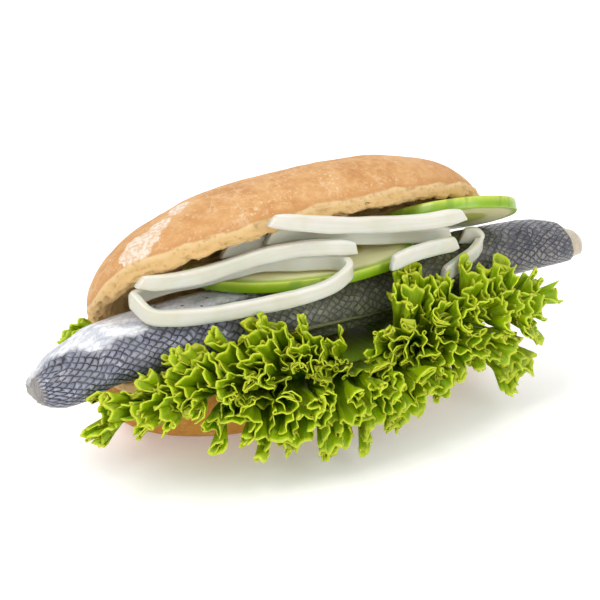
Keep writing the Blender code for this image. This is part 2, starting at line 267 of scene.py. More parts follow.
def calc(tree, operation, *values):
    node = tree.nodes.new("ShaderNodeMath")
    node.operation = operation
    for socket, value in zip(node.inputs, values):
        feed(tree, socket, value)
    return Value(tree, node.outputs[0])


class Graph:
    """A node tree and the calls that add nodes to it."""

    def __init__(self, tree):
        self.tree = tree

    def add(self, kind, settings=None, inputs=None, out=0):
        node = self.tree.nodes.new(kind)
        for key, value in (settings or {}).items():
            setattr(node, key, value)
        for key, value in (inputs or {}).items():
            feed(self.tree, node.inputs[key], value)
        return Value(self.tree, node.outputs[out])

    def split(self, vector):
        node = self.tree.nodes.new("ShaderNodeSeparateXYZ")
        feed(self.tree, node.inputs[0], vector)
        return [Value(self.tree, output) for output in node.outputs]

    def join(self, x, y, z):
        return self.add("ShaderNodeCombineXYZ", None, {0: x, 1: y, 2: z})

    def vector(self, operation, first, second, out=0):
        inputs = {0: first, "Scale" if operation == "SCALE" else 1: second}
        return self.add("ShaderNodeVectorMath", {"operation": operation}, inputs, out)

    def noise(self, where, size, detail=2.0, roughness=0.5):
        """Noise from 0 to 1 with lumps of about this size in metres."""
        sizes = {"Vector": where, "Scale": 1 / size, "Detail": detail, "Roughness": roughness}
        return self.add("ShaderNodeTexNoise", None, sizes)

    def uneven(self, *sizes):
        """The same noise from -0.5 to 0.5."""
        return self.noise(*sizes) - 0.5

    def cells(self, where, size, feature="F1"):
        return self.add("ShaderNodeTexVoronoi", {"feature": feature}, {"Vector": where, "Scale": 1 / size})

    def smooth(self, value, low, high, start=0.0, end=1.0, kind="SMOOTHSTEP"):
        """A soft step from start to end while value goes from low to high."""
        inputs = {"Value": value, "From Min": low, "From Max": high, "To Min": start, "To Max": end}
        return self.add("ShaderNodeMapRange", {"interpolation_type": kind}, inputs)

    def mix(self, factor, first, second):
        node = self.tree.nodes.new("ShaderNodeMix")
        node.data_type = "RGBA"
        for key, value in ((0, factor), (6, first), (7, second)):
            feed(self.tree, node.inputs[key], value)
        return Value(self.tree, node.outputs[2])


class Finish(Graph):
    """A procedural material on a Principled shader."""

    def __init__(self, name, **fixed):
        self.material = bpy.data.materials.new(name)
        self.material.use_nodes = True
        super().__init__(self.material.node_tree)
        self.shader = self.tree.nodes["Principled BSDF"]
        self.paint(**fixed)

    def place(self):
        return self.add("ShaderNodeTexCoord", out=3)

    def named(self, name, out=2):
        return self.add("ShaderNodeAttribute", {"attribute_name": name}, out=out)

    def paint(self, **values):
        for key, value in values.items():
            feed(self.tree, self.shader.inputs[key.replace("_", " ")], value)

    def bump(self, height, distance, strength):
        """Relief of this height in metres, from a value of 0 to 1."""
        relief = {"Height": height, "Distance": distance, "Strength": strength}
        self.paint(Normal=self.add("ShaderNodeBump", None, relief))


def scale_net(graph, around, along):
    """The dark line at the free edge of every scale, its lip, a number for each, and a soft shade.

    around and along count scales. Each row is shifted by half a scale, and its edges are arcs.
    """
    row = math.floor(along)
    rise = along - row
    shifted = around + (row % 2) * 0.5
    column = math.floor(shifted)
    centre = abs(shifted - column - 0.5) * 2
    arc = 1 - centre**1.5
    off = rise - arc
    line = 1 - graph.smooth(abs(off), 0.05, 0.36)
    shadow = 1 - graph.smooth(abs(off), 0.1, 0.95)
    lip = graph.smooth(off, -0.55, -0.06) * (off < 0)
    mine = graph.join(column + (off > 0) * 0.5, row + (off > 0), 0.0)
    tone = graph.add("ShaderNodeTexWhiteNoise", {"noise_dimensions": "2D"}, {"Vector": mine})
    return line, lip, tone, shadow


def geometry_tree(name, sizes):
    """A Geometry Nodes tree with a named input for each size. Returns its graph and its inputs."""
    tree = bpy.data.node_groups.new(name, "GeometryNodeTree")
    tree.interface.new_socket("Geometry", in_out="INPUT", socket_type="NodeSocketGeometry")
    for title, value in sizes.items():
        socket = tree.interface.new_socket(title, in_out="INPUT", socket_type="NodeSocketFloat")
        socket.default_value = value
    tree.interface.new_socket("Geometry", in_out="OUTPUT", socket_type="NodeSocketGeometry")
    entry = tree.nodes.new("NodeGroupInput")
    return Graph(tree), {s.name: Value(tree, s) for s in entry.outputs if s.name}


def close_tree(graph, geometry, finish):
    """Ends a tree in Realize Instances and Set Material."""
    whole = graph.add("GeometryNodeRealizeInstances", None, {0: geometry})
    dressed = graph.add("GeometryNodeSetMaterial", None, {"Geometry": whole, "Material": finish.material})
    feed(graph.tree, graph.tree.nodes.new("NodeGroupOutput").inputs[0], dressed)
    return graph.tree


def named_in(graph, name, kind="FLOAT"):
    return graph.add("GeometryNodeInputNamedAttribute", {"data_type": kind}, {"Name": name})


def close_relief(graph, given, height, finish):
    """Moves every point along its normal by height, and ends the tree."""
    offset = graph.vector("SCALE", graph.add("GeometryNodeInputNormal"), height)
    moves = {"Geometry": given["Geometry"], "Offset": offset}
    return close_tree(graph, graph.add("GeometryNodeSetPosition", None, moves), finish)


def settle(piece, tree, sizes, slot, *nodes):
    """Runs a Geometry Nodes tree on a piece, keeps the result as a mesh, hangs it under the root body and
    hides the given solids.
    """
    modifier = piece.modifiers.new(tree.name, "NODES")
    modifier.node_group = tree
    for item in tree.interface.items_tree:
        if item.in_out == "INPUT" and item.name in sizes:
            modifier[item.identifier] = float(sizes[item.name])
    graph = bpy.context.evaluated_depsgraph_get()
    made = bpy.data.meshes.new_from_object(
        piece.evaluated_get(graph), preserve_all_data_layers=True, depsgraph=graph
    )
    piece.modifiers.clear()
    piece.data = made
    made.name = piece.name
    made.polygons.foreach_set("use_smooth", [True] * len(made.polygons))
    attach(piece, "root")
    if nodes:
        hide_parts(*nodes)


def placed(name, data):
    """A new object in the scene."""
    made = bpy.data.objects.new(name, data)
    bpy.context.scene.collection.objects.link(made)
    return made


def shape(name, points, faces, closed=False, **values):
    """A mesh object with named numbers or vectors kept on its points. A closed one faces outwards."""
    mesh = bpy.data.meshes.new(name)
    mesh.from_pydata(np.asarray(points, float).tolist(), [], faces)
    if closed:
        shell = bmesh.new()
        shell.from_mesh(mesh)
        bmesh.ops.recalc_face_normals(shell, faces=shell.faces)
        shell.to_mesh(mesh)
        shell.free()
    for key, numbers in values.items():
        numbers = np.asarray(numbers, np.float32)
        kind, field = ("FLOAT", "value") if numbers.ndim == 1 else ("FLOAT_VECTOR", "vector")
        mesh.attributes.new(key, kind, "POINT").data.foreach_set(field, numbers.ravel())
    return placed(name, mesh)


def grid_faces(rows, columns, start=0, close_rows=False, close_columns=False):
    """The corners of every face of a grid of points. Closed rows or columns join up with the first."""
    i = np.arange(rows - (not close_rows))[:, None]
    j = np.arange(columns - (not close_columns))[None]
    near, far, k = i * columns, (i + 1) % rows * columns, (j + 1) % columns
    return start + np.stack([near + j, near + k, far + k, far + j], -1).reshape(-1, 4)


def loft(name, rings, closed=False, **values):
    """A closed skin through rings of equal count. An open run of rings is closed at both ends.

    Each named value is an array with one entry, a number or three, for each point of the rings.
    """
    rings = np.asarray(rings, float)
    count, around = rings.shape[:2]
    points = rings.reshape(-1, 3)
    values = {key: np.reshape(v, (len(points), *np.shape(v)[2:])) for key, v in values.items()}
    faces = grid_faces(count, around, 0, closed, True).tolist()
    if not closed:
        for row in (0, count - 1):
            ends = np.arange(row * around, (row + 1) * around)
            centre = len(points)
            points = np.vstack([points, points[ends].mean(axis=0)])
            values = {key: np.concatenate([v, v[ends].mean(axis=0)[None]]) for key, v in values.items()}
            faces += [(int(a), int(b), centre) for a, b in zip(ends, np.roll(ends, -1))]
    return shape(name, points, faces, closed=True, **values)


def curve(points, count):
    """A smooth run of count points through the given ones, by Catmull-Rom, evenly spaced."""
    given = np.asarray(points, float)
    given = np.vstack([2 * given[0] - given[1], given, 2 * given[-1] - given[-2]])
    out = []
    for i in range(1, len(given) - 2):
        a, b, c, d = given[i - 1 : i + 3]
        for t in np.linspace(0, 1, 24, endpoint=False):
            cubic = (2 * a - 5 * b + 4 * c - d) * t**2 + (3 * b - a - 3 * c + d) * t**3
            out.append(0.5 * (2 * b + (c - a) * t + cubic))
    out.append(given[-2])
    out = np.array(out)
    run = np.concatenate([[0], np.cumsum(np.linalg.norm(np.diff(out, axis=0), axis=1))])
    even = np.linspace(0, run[-1], count)
    return np.stack([np.interp(even, run, out[:, k]) for k in range(out.shape[1])], axis=1)


def circle(count):
    """Angles evenly round a circle."""
    return np.linspace(0, 2 * math.pi, count, endpoint=False)


def unit(vectors):
    """Each vector at a length of one."""
    return vectors / np.linalg.norm(vectors, axis=1)[:, None]


def outline(angle, squareness, length=2, width=2):
    """A closed outline between an ellipse, at a squareness of 2, and a rectangle."""
    c, s = np.cos(angle), np.sin(angle)
    reach = (abs(c) ** squareness + abs(s) ** squareness) ** (-1 / squareness)
    return length / 2 * c * reach, width / 2 * s * reach


def bumps(x, y, z, size):
    """Unevenness from about -1 to 1 with lumps of about this size in metres."""
    x, y, z = np.broadcast_arrays(x, y, z)
    found = [noise.noise(Vector(p) / size) for p in zip(x.ravel(), y.ravel(), z.ravel())]
    return np.array(found).reshape(x.shape)


def upper_place(x, y, z):
    """Tilts points of the upper half back and puts them in their place."""
    c, s = math.cos(UPPER_TILT), math.sin(UPPER_TILT)
    return np.stack([x, y * c + z * s, z * c - y * s], -1) + UPPER_CENTRE


def crumb_band(x, y):
    """How high the crumb shows above the cut's edge of the upper half, in metres."""
    front, left = np.clip(-y / 0.016, 0, 1), np.clip((-x - 0.042) / 0.016, 0, 1)
    return 0.0009 + 0.0019 * front + 0.0015 * left + 0.0012 * bumps(x, y, 0.7, 0.007)


def bun_top(relief):
    """The upper half: a low dome, and a cut face with a hollow."""
    angle = circle(UPPER_AROUND)
    edge_x, edge_y = outline(angle, ROLL_SQUARENESS, UPPER_LENGTH, UPPER_WIDTH)
    rings, rise, local = [], [], []
    for t in np.concatenate([np.linspace(*run) for run in DOME_RINGS]):
        reach = math.sin(t)
        height = UPPER_HEIGHT * max(0.0, 1 - reach**2.6) ** 0.5
        x, y = edge_x * reach, edge_y * reach
        lift = CRUST_RELIEF * 2 * bumps(x, y, height, 0.012) * min(1, (1 - reach) / 0.03)
        rings.append(upper_place(x, y, height + lift))
        rise.append(np.clip(height - crumb_band(x, y), -CUT_DEEP, CUT_DEEP))
        local.append(np.stack([x, y, np.full(len(angle), height)], -1))
    reaches = np.concatenate([np.linspace(*run) for run in FACE_RINGS])
    known = [(1.0, 0.0), *UPPER_FACE]
    depths = np.interp(-reaches, [-r for r, _ in known], [d for _, d in known])
    for reach, depth in zip(reaches, depths):
        x, y = edge_x * reach, edge_y * reach
        ragged = CRUMB_RELIEF * bumps(x, y, 0.3, 0.005) * min(1, (1 - reach) / 0.01)
        rings.append(upper_place(x, y, depth + ragged))
        rise.append(np.full(len(angle), -CUT_DEEP))
        local.append(np.stack([x, y, np.full(len(angle), -0.001)], -1))
    piece = loft("roll_top", rings, rise=rise, local=local)
    settle(piece, relief, {"Blister height": 0.0003, "Pore depth": 0.0012}, "crust", "bun_top")


def bun_bottom(relief):
    """The lower half: a flat underside, a crust that bulges out, and a cut face."""
    angle = circle(LOWER_AROUND)
    edge_x, edge_y = outline(angle, ROLL_SQUARENESS, LOWER_LENGTH, LOWER_WIDTH)
    known = curve([(reach, z, 0) for reach, z in LOWER_LEVELS], 60)
    inner = [(r, LOWER_HEIGHT - 0.001 + 0.0006 * (r > 0.8)) for r in np.linspace(0.955, 0.05, 64)]
    levels = [(0.25, 0), (0.5, 0), *[(max(r, FLAT_SHARE), max(0, z)) for r, z, _ in known], *inner]
    rings, rise, local = [], [], []
    for reach, z in levels:
        x, y = edge_x * reach, edge_y * reach
        outer = z < CUT_LEVEL
        swell = 1 + CRUST_RELIEF / 0.034 * bumps(x, y, z, 0.012) * (outer and z > 0)
        grain = 0 if outer else CRUMB_RELIEF * 0.6 * bumps(x, y, 0.1, 0.006)
        rings.append(np.stack([x * swell, y * swell, z + grain + np.zeros(len(x))], -1))
        rise.append(np.full(len(angle), CUT_LEVEL - z if outer else -CUT_DEEP))
        local.append(np.stack([x, y, np.full(len(angle), z)], -1))
    piece = loft("roll_bottom", rings, rise=rise, local=local)
    settle(piece, relief, {"Blister height": 0.00025, "Pore depth": 0.0009}, "bread", "bun_bottom")


def herring(relief):
    """The fillet with its long seam, and the pale flesh that sticks out at the tail."""
    around, along = HERRING_AROUND, HERRING_ALONG
    a = circle(around) - math.pi / 2
    turn = np.mod(a, 2 * math.pi)
    flat = np.where(np.sin(a) < 0, BELLY_FLAT, 1.0)
    rings = []
    for x, y, z, deep, high in curve(HERRING, along) * MM:
        middle = math.exp(-((x / MM - SEAM_MIDDLE) / SEAM_REACH) ** 2)
        out = 1 - SEAM_DEPTH / deep * middle * np.exp(-((turn - math.pi * SEAM_TURN) / 0.2) ** 2)
        across, up = deep * np.cos(a) * out, high * np.sin(a) * flat * out
        rings.append(np.stack([np.full(around, x), y + across, z + up], -1))
    tail = rings[-1]
    centre = tail.mean(axis=0)
    for x, size in curve([(x, size, 0) for x, size in TAIL_FLESH], TAIL_ALONG)[:, :2]:
        ring = centre + (tail - centre) * size
        ring[:, 0] = x * MM
        ring[:, 2] -= (x - TAIL_FLESH[0][0]) * TAIL_DROP * MM
        rings.append(ring)
    rings = np.array(rings)
    lean = np.mod(np.broadcast_to(a, rings.shape[:2]), 2 * math.pi) / math.pi
    station = np.broadcast_to(rings[:, :1, 0], rings.shape[:2])
    turns = np.broadcast_to(np.arange(around) / around, rings.shape[:2])
    flesh = np.zeros(rings.shape[:2])
    flesh[along:] = 1
    piece = loft("herring_fillet", rings, skin=np.stack([turns, station, lean], -1), flesh=flesh)
    settle(piece, relief, {"Lip height": 0.00016, "Sag height": 0.0007}, "fish_skin", "herring")


def slice_rings(profile, a, centre, half_length, half_width, turn, tilt):
    """Rings of a cucumber slice, one for each reach and level. The flat slice droops at the back."""
    turn, tilt = math.radians(turn), math.radians(tilt)
    rings = []
    for reach, level in profile:
        ripple = 1 + 0.004 * np.sin(9 * a + 1)
        x, y = half_length * reach * np.cos(a) * ripple, half_width * reach * np.sin(a) * ripple
        sag = np.maximum(0.0, y + 0.004) ** 2 / SLICE_SAG * (tilt > 0)
        h = SLICE_THICKNESS / 2 * level - sag
        y, h = y * math.cos(tilt) - h * math.sin(tilt), h * math.cos(tilt) + y * math.sin(tilt)
        x, y = x * math.cos(turn) - y * math.sin(turn), x * math.sin(turn) + y * math.cos(turn)
        rings.append(np.stack([x + centre[0], y + centre[1], h + centre[2]], -1))
    return np.array(rings)


def slice_of(name, sizes, relief):
    """A slice of cucumber with a rounded rim."""
    a = circle(SLICE_AROUND)
    edge = [(0.985, 0.98), (0.994, 0.9), (1.0, 0.75), (1.0, 0.35), (1.0, 0.0)]
    profile = [(reach, 1.0) for reach in np.linspace(0.04, 0.97, 40)] + edge
    profile += [(reach, -level) for reach, level in reversed(profile[:-1])]
    disc = [np.stack([np.full(len(a), reach), a, np.full(len(a), level)], -1) for reach, level in profile]
    piece = loft(name.replace("cucumber", "slice"), slice_rings(profile, a, *sizes), disc=disc)
    settle(piece, relief, {"Grain height": 0.00006}, "cucumber", name)


def seeds(tree):
    """The seeds of both slices in one piece, spread over the soft middle of their upper faces."""
    a = circle(SLICE_AROUND // 2)
    profile = [(reach, 1.0) for reach in np.linspace(*SEED_ZONE, 10)]
    points, faces, away, start = [], [], [], 0
    for sizes in SLICES.values():
        rings = slice_rings(profile, a, *sizes)
        faces.append(grid_faces(len(profile), len(a), start, close_columns=True))
        points.append(rings.reshape(-1, 3))
        away.append((rings - rings.mean(axis=(0, 1))).reshape(-1, 3))
        start += len(points[-1])
    quads = np.concatenate(faces).tolist()
    bed = shape("seeds", np.concatenate(points), quads, away=np.concatenate(away))
    settle(bed, tree, {"Spacing": 0.0021, "Length": 0.0030}, "cucumber")


def strip(name, path, relief, closed=False):
    """A strip of onion, cut at a slant at both ends, or a whole ring."""
    path = np.asarray(path, float) * MM
    if closed:
        path = np.vstack([path, path[:1]])
    stations = RING_ALONG if closed else STRIP_ALONG
    line = curve(path, stations + closed)
    along = np.gradient(line, axis=0)
    if closed:
        line = line[:-1]
        along = np.roll(line, -1, axis=0) - np.roll(line, 1, axis=0)
    along = unit(along)
    thick, high = outline(circle(STRIP_AROUND), STRIP_SQUARENESS)
    h, t = STRIP_HEIGHT / 2 * high, STRIP_THICKNESS / 2 * thick
    rings, strand = [], []
    for i, (point, ahead) in enumerate(zip(line, along)):
        up = np.array([0, 0, 1.0]) - ahead * ahead[2]
        up /= np.linalg.norm(up)
        side = np.cross(ahead, up)
        run = i / len(line)
        swell = 1 + 0.1 * noise.noise(Vector(point) / 0.009)
        slant = 0.0
        if not closed:
            end = max(0.0, (abs(run - 0.5) - 0.4) / 0.1)
            swell *= 1 - 0.3 * end**2
            slant = STRIP_CUT * end**2 * (1 if run > 0.5 else -1)
        ring = point + up * h[:, None] * swell + side * t[:, None] * swell**0.5
        rings.append(ring - ahead * high[:, None] * slant)
        strand.append(np.stack([high, thick, np.full(STRIP_AROUND, run)], -1))
    piece = loft(name.replace("onion", "strip"), rings, closed=closed, strand=strand)
    settle(piece, relief, {"Grain height": 0.00008}, "onion", name)


def run_of(p, q):
    """How far along each point of a run is, from its start."""
    return np.concatenate([[0], np.cumsum(np.hypot(np.diff(p), np.diff(q)))])


def waved(p, q, high, phase, bulge):
    """A run with waves across it, full at their tops."""
    dp, dq = np.gradient(p), np.gradient(q)
    size = np.maximum(np.hypot(dp, dq), 1e-6)
    wave, swell = high * np.sin(phase), high * bulge * np.sin(2 * phase)
    return p + (swell * dp - wave * dq) / size, q + (swell * dq + wave * dp) / size


def ruffled(sizes, tier, columns, rows):
    """One tier of a frilled leaf: its margin as in the solid, or a side frill nearer the roll.

    Returns rows of points, and for each point its place along the margin and how far it is from the
    held end, 0 to 1.
    """
    share, rise, fold, shift, flare, closer, cup = tier
    s = np.linspace(0, 1, columns)
    edge, lip, root = (curve(sizes[key], columns) for key in ("edge", "lip", "root"))
    edge = lip + (edge - lip) * share + np.array([0, 0, rise])
    turn, waves, curl = sizes["turn"] + shift, sizes["waves"] * closer, np.array(sizes["curl"]) * cup
    reach = np.interp(s, np.linspace(0, 1, len(sizes["reach"])), sizes["reach"]) * fold
    along = unit(np.gradient(edge, axis=0))
    out = edge - lip
    out = unit(out - (out * along).sum(axis=1)[:, None] * along)
    across = np.cross(along, out)
    run = np.concatenate([[0], np.cumsum(np.linalg.norm(np.diff(edge, axis=0), axis=1))])
    theta = 2 * math.pi * waves * (s + 0.03 * np.sin(11 * s + turn)) + turn
    large_p, large_q = run + 0.25 * reach * np.sin(2 * theta), reach * np.sin(theta)
    phi = 2 * math.pi * run_of(large_p, large_q) / curl[1]
    length = run_of(*waved(large_p, large_q, curl[0], phi, 0.3))
    psi = 2 * math.pi * length / FRILL[1] + 1.5 * np.sin(length / 9)
    tooth = 0.03 * abs(np.sin(math.pi * length / 7.3 + np.sin(phi))) ** 0.6
    tooth = tooth - 0.03 + 0.02 * np.sin(2 * math.pi * length / 4.1)
    surface, blade = [], []
    for v in rows:
        grown = v * (1 + tooth * max(0.0, (v - 0.8) / 0.2))
        free = np.maximum(0.0, (grown - LIP) / (1 - LIP)) * (v > LIP)
        base = root + (lip - root) * min(1, v / LIP) + (edge - lip) * free[:, None]
        large, small = free**flare, curl[0] * np.maximum(0.0, (free - 0.2) / 0.8)
        fine = FRILL[0] * np.maximum(0.0, (free - 0.3) / 0.7) ** 1.2
        p, q = waved(run + (large_p - run) * large, large_q * large, small, phi, 0.3)
        p, q = waved(p, q, fine, psi, 0.4)
        lift = small * 0.45 * np.cos(phi) + fine * 0.6 * np.cos(psi)
        lift += 0.1 * reach * large * np.cos(2 * theta + 1)
        surface.append(base + along * (p - run)[:, None] + across * q[:, None] + out * lift[:, None])
        blade.append(np.stack([length * MM, np.full(columns, v), np.zeros(columns)], -1))
    return np.array(surface) * MM, np.array(blade)


def leaf(name, relief, sizes):
    """A leaf of all its tiers in one mesh, given a thickness. Only the margin reaches the held end."""
    columns = sizes["count"] * COLUMNS_A_COUNT
    points, faces, blades, start = [], [], [], 0
    for tier in TIERS:
        held = np.linspace(0, LIP, 3)[:-1] if tier[3] == 0 else []
        rows = np.concatenate([held, LIP + (1 - LIP) * np.linspace(0, 1, LEAF_ROWS) ** 0.8])
        surface, blade = ruffled(sizes, tier, columns, rows)
        faces.append(grid_faces(len(rows), columns, start))
        points.append(surface.reshape(-1, 3))
        blades.append(blade.reshape(-1, 3))
        start += len(points[-1])
    faces = np.concatenate(faces).tolist()
    title = name.replace("lettuce", "leaf")
    piece = shape(title, np.concatenate(points), faces, blade=np.concatenate(blades))
    settle(piece, relief, {"Pucker height": 0.00055}, "lettuce", name)
    thick = piece.modifiers.new("Thickness", "SOLIDIFY")
    thick.thickness = LEAF_FINE
    thick.offset = 0


def bread_relief_tree(finish):
    """Blisters and wrinkles where the crust is, open pores where the crumb is."""
    graph, given = geometry_tree("Bread relief", {"Blister height": 0.0004, "Pore depth": 0.001})
    place, rise = graph.add("GeometryNodeInputPosition"), named_in(graph, "rise")
    crust = graph.smooth(rise, -0.0002, 0.0002)
    wrinkle = graph.uneven(place, 0.006, 3.0)
    blister = graph.smooth(graph.cells(place, 0.0032), 0.55, 0.05)
    blister = blister * graph.smooth(graph.noise(place, 0.009), 0.5, 0.65)
    fine = graph.uneven(place, 0.0011)
    small_pores = graph.smooth(graph.cells(place, 0.0016), 0.45, 0.1)
    pores = graph.smooth(graph.cells(place, 0.0034), 0.5, 0.12) + small_pores * 0.5
    top = (wrinkle * 1.1 + blister * 0.5 + fine * 0.22) * given["Blister height"]
    open_crumb = (0.25 - pores + graph.uneven(place, 0.0022, 3.0) * 0.9) * given["Pore depth"]
    height = crust * top + (1 - crust) * open_crumb
    return close_relief(graph, given, height, finish)


def scale_relief_tree(finish):
    """The raised free edge of each scale, and the fillet's own soft unevenness."""
    graph, given = geometry_tree("Scale relief", {"Lip height": 0.00015, "Sag height": 0.0006})
    place = graph.add("GeometryNodeInputPosition")
    skin, flesh = named_in(graph, "skin", "FLOAT_VECTOR"), named_in(graph, "flesh")
    line, lip, _, _ = scales_of(graph, skin, place)
    station = graph.split(skin)[1]
    torn = graph.smooth(station, -0.0905, -0.0962) * graph.uneven(place, 0.0026, 3.0) * 0.0022
    fold = graph.uneven(graph.vector("MULTIPLY", place, (0.3, 1.0, 1.0)), 0.008)
    soft = (graph.uneven(place, 0.011) + fold * 1.6) * given["Sag height"] + torn
    flakes = graph.uneven(place, 0.0022) * flesh * 0.0006
    height = (lip - line * 0.8) * (1 - flesh) * given["Lip height"] + soft + flakes
    return close_relief(graph, given, height, finish)


def flesh_relief_tree(name, finish):
    """The faint grain of cut vegetable."""
    graph, given = geometry_tree(name, {"Grain height": 0.0001})
    place = graph.add("GeometryNodeInputPosition")
    height = graph.uneven(place, 0.003, 3.0) * given["Grain height"] * 2
    return close_relief(graph, given, height, finish)


def leaf_relief_tree(finish):
    """The puckers between a leaf's veins, flatter at the held end."""
    graph, given = geometry_tree("Leaf relief", {"Pucker height": 0.0005})
    share = graph.split(named_in(graph, "blade", "FLOAT_VECTOR"))[1]
    place = graph.add("GeometryNodeInputPosition")
    pucker = graph.smooth(graph.cells(place, 0.0042, "SMOOTH_F1"), 0.0, 0.6) - 0.5
    soft = graph.uneven(place, 0.006)
    height = (pucker * 0.7 + soft) * graph.smooth(share, 0.15, 0.6) * given["Pucker height"]
    return close_relief(graph, given, height, finish)


def seed_tree_of(finish):
    """Flat seeds spread over a surface, each pointing the way its "away" attribute does."""
    graph, given = geometry_tree("Seeds", {"Spacing": 0.002, "Length": 0.003})
    spread = graph.tree.nodes.new("GeometryNodeDistributePointsOnFaces")
    spread.distribute_method = "POISSON"
    bed = {"Mesh": given["Geometry"], "Distance Min": given["Spacing"], "Density Max": MOST_SEEDS, "Seed": 4}
    for key, value in bed.items():
        feed(graph.tree, spread.inputs[key], value)
    points, normal = (Value(graph.tree, spread.outputs[key]) for key in ("Points", "Normal"))
    seed = graph.add("GeometryNodeMeshUVSphere", None, {"Segments": 10, "Rings": 6, "Radius": 0.5})
    flat = graph.join(given["Length"], given["Length"] * 0.42, given["Length"] * 0.16)
    flat_seed = graph.add("GeometryNodeTransform", None, {"Geometry": seed, "Scale": flat})
    upright = graph.add("FunctionNodeAlignRotationToVector", {"axis": "Z"}, {"Vector": normal})
    away = named_in(graph, "away", "FLOAT_VECTOR")
    aims = {"Rotation": upright, "Vector": away}
    turn = graph.add("FunctionNodeAlignRotationToVector", {"axis": "X", "pivot_axis": "Z"}, aims)
    places = {"Points": points, "Instance": flat_seed, "Rotation": turn}
    laid = graph.add("GeometryNodeInstanceOnPoints", None, places)
    return close_tree(graph, laid, finish)


def bread_finish(name, light, mid, dark, flour):
    """Baked crust going over to pale crumb, with painted shade on the crumb deeper in the cut and in its
    pores; flour is a list of local places and sizes in metres.
    """
    finish = Finish(name, Roughness=0.72, Subsurface_Weight=0.1, Subsurface_Scale=0.002)
    pale_crust = srgb(232, 206, 172)
    place, rise, local = finish.place(), finish.named("rise"), finish.named("local", out=1)
    crust = finish.smooth(rise + finish.uneven(place, 0.0016, 3.0) * 0.0008, -0.0003, 0.0005)
    mottle = finish.noise(place, 0.014, 5.0, 0.65)
    speck = finish.noise(place, 0.0011)
    grain = finish.noise(place, 0.0026, 4.0, 0.7)
    baked = finish.mix(finish.smooth(mottle, 0.3, 0.52, kind="LINEAR"), light, mid)
    baked = finish.mix(finish.smooth(mottle, 0.52, 0.78, kind="LINEAR"), baked, dark)
    baked = finish.mix(finish.smooth(grain, 0.44, 0.7) * 0.6, baked, light)
    baked = finish.mix(finish.smooth(grain, 0.48, 0.3) * 0.35, baked, dark)
    pale = finish.smooth(speck, 0.56, 0.7) * finish.smooth(finish.noise(place, 0.008), 0.38, 0.6)
    baked = finish.mix(pale * 0.55, baked, pale_crust)
    bend = finish.vector("SCALE", finish.join(grain, speck, mottle), 0.004)
    bent = finish.vector("ADD", place, bend)
    crackle = finish.smooth(finish.cells(bent, 0.0075, "DISTANCE_TO_EDGE"), 0.045, 0.01)
    crackle = crackle * finish.smooth(finish.noise(place, 0.02, 1.0), 0.5, 0.62)
    baked = finish.mix(crackle * 0.35, baked, pale_crust)
    toast = finish.smooth(rise, 0.003, 0.0004) * finish.smooth(grain, 0.35, 0.6, 0.1, 0.5)
    baked = finish.mix(toast, baked, dark)
    along = finish.split(local)[0]
    ends = finish.smooth(along, 0.02, 0.055) * 0.3 + finish.smooth(along, -0.025, -0.045) * 0.14
    baked = finish.mix(ends, baked, dark)
    torn = finish.uneven(place, 0.0045, 4.0, 0.65) * 1.1
    dust = 0.0
    for centre, size in flour:
        away = finish.vector("SUBTRACT", local, centre)
        away = finish.vector("MULTIPLY", away, tuple(1 / s for s in size))
        far = finish.vector("DISTANCE", away, (0.0, 0.0, 0.0), out=1)
        dust = calc(finish.tree, "MAXIMUM", dust, finish.smooth(far + torn, 1.0, 0.88))
    white = finish.mix(finish.smooth(speck, 0.38, 0.6), srgb(214, 184, 154), srgb(230, 216, 200))
    baked = finish.mix(dust * 0.92, baked, white)
    # Painted shade: the pores of the crumb are painted darker, as the shade inside the holes
    pore_shade = finish.smooth(finish.cells(place, 0.0017), 0.4, 0.15)
    crumb = finish.mix(finish.noise(place, 0.003, 3.0), srgb(226, 198, 148), srgb(204, 170, 116))
    # Painted shade: the crumb is painted darker and more golden the further it lies below the crust's edge,
    # and all over the hollow cut face
    crumb = finish.mix(finish.smooth(rise, -0.0003, -0.0024) * 0.5, crumb, srgb(196, 154, 86))
    crumb = finish.mix(pore_shade * 0.4, crumb, srgb(174, 130, 68))
    finish.paint(Base_Color=finish.mix(crust, crumb, baked))
    relief = finish.noise(place, 0.0007, 3.0) * 0.6 + grain * 0.7 + crackle * 0.4 * crust
    finish.bump(relief, 0.0003, 0.5)
    return finish


def scales_of(graph, skin, place):
    """The net of scales on the fish, pulled about a little as on soft flesh."""
    turns, station, _ = graph.split(skin)
    around = turns * SCALES_AROUND + graph.uneven(place, 0.007) * 1.9
    elsewhere = graph.vector("ADD", place, (0.3, 0.3, 0.3))
    return scale_net(graph, around, station / SCALE_ROW + FIRST_ROW + graph.uneven(elsewhere, 0.006) * 2.2)


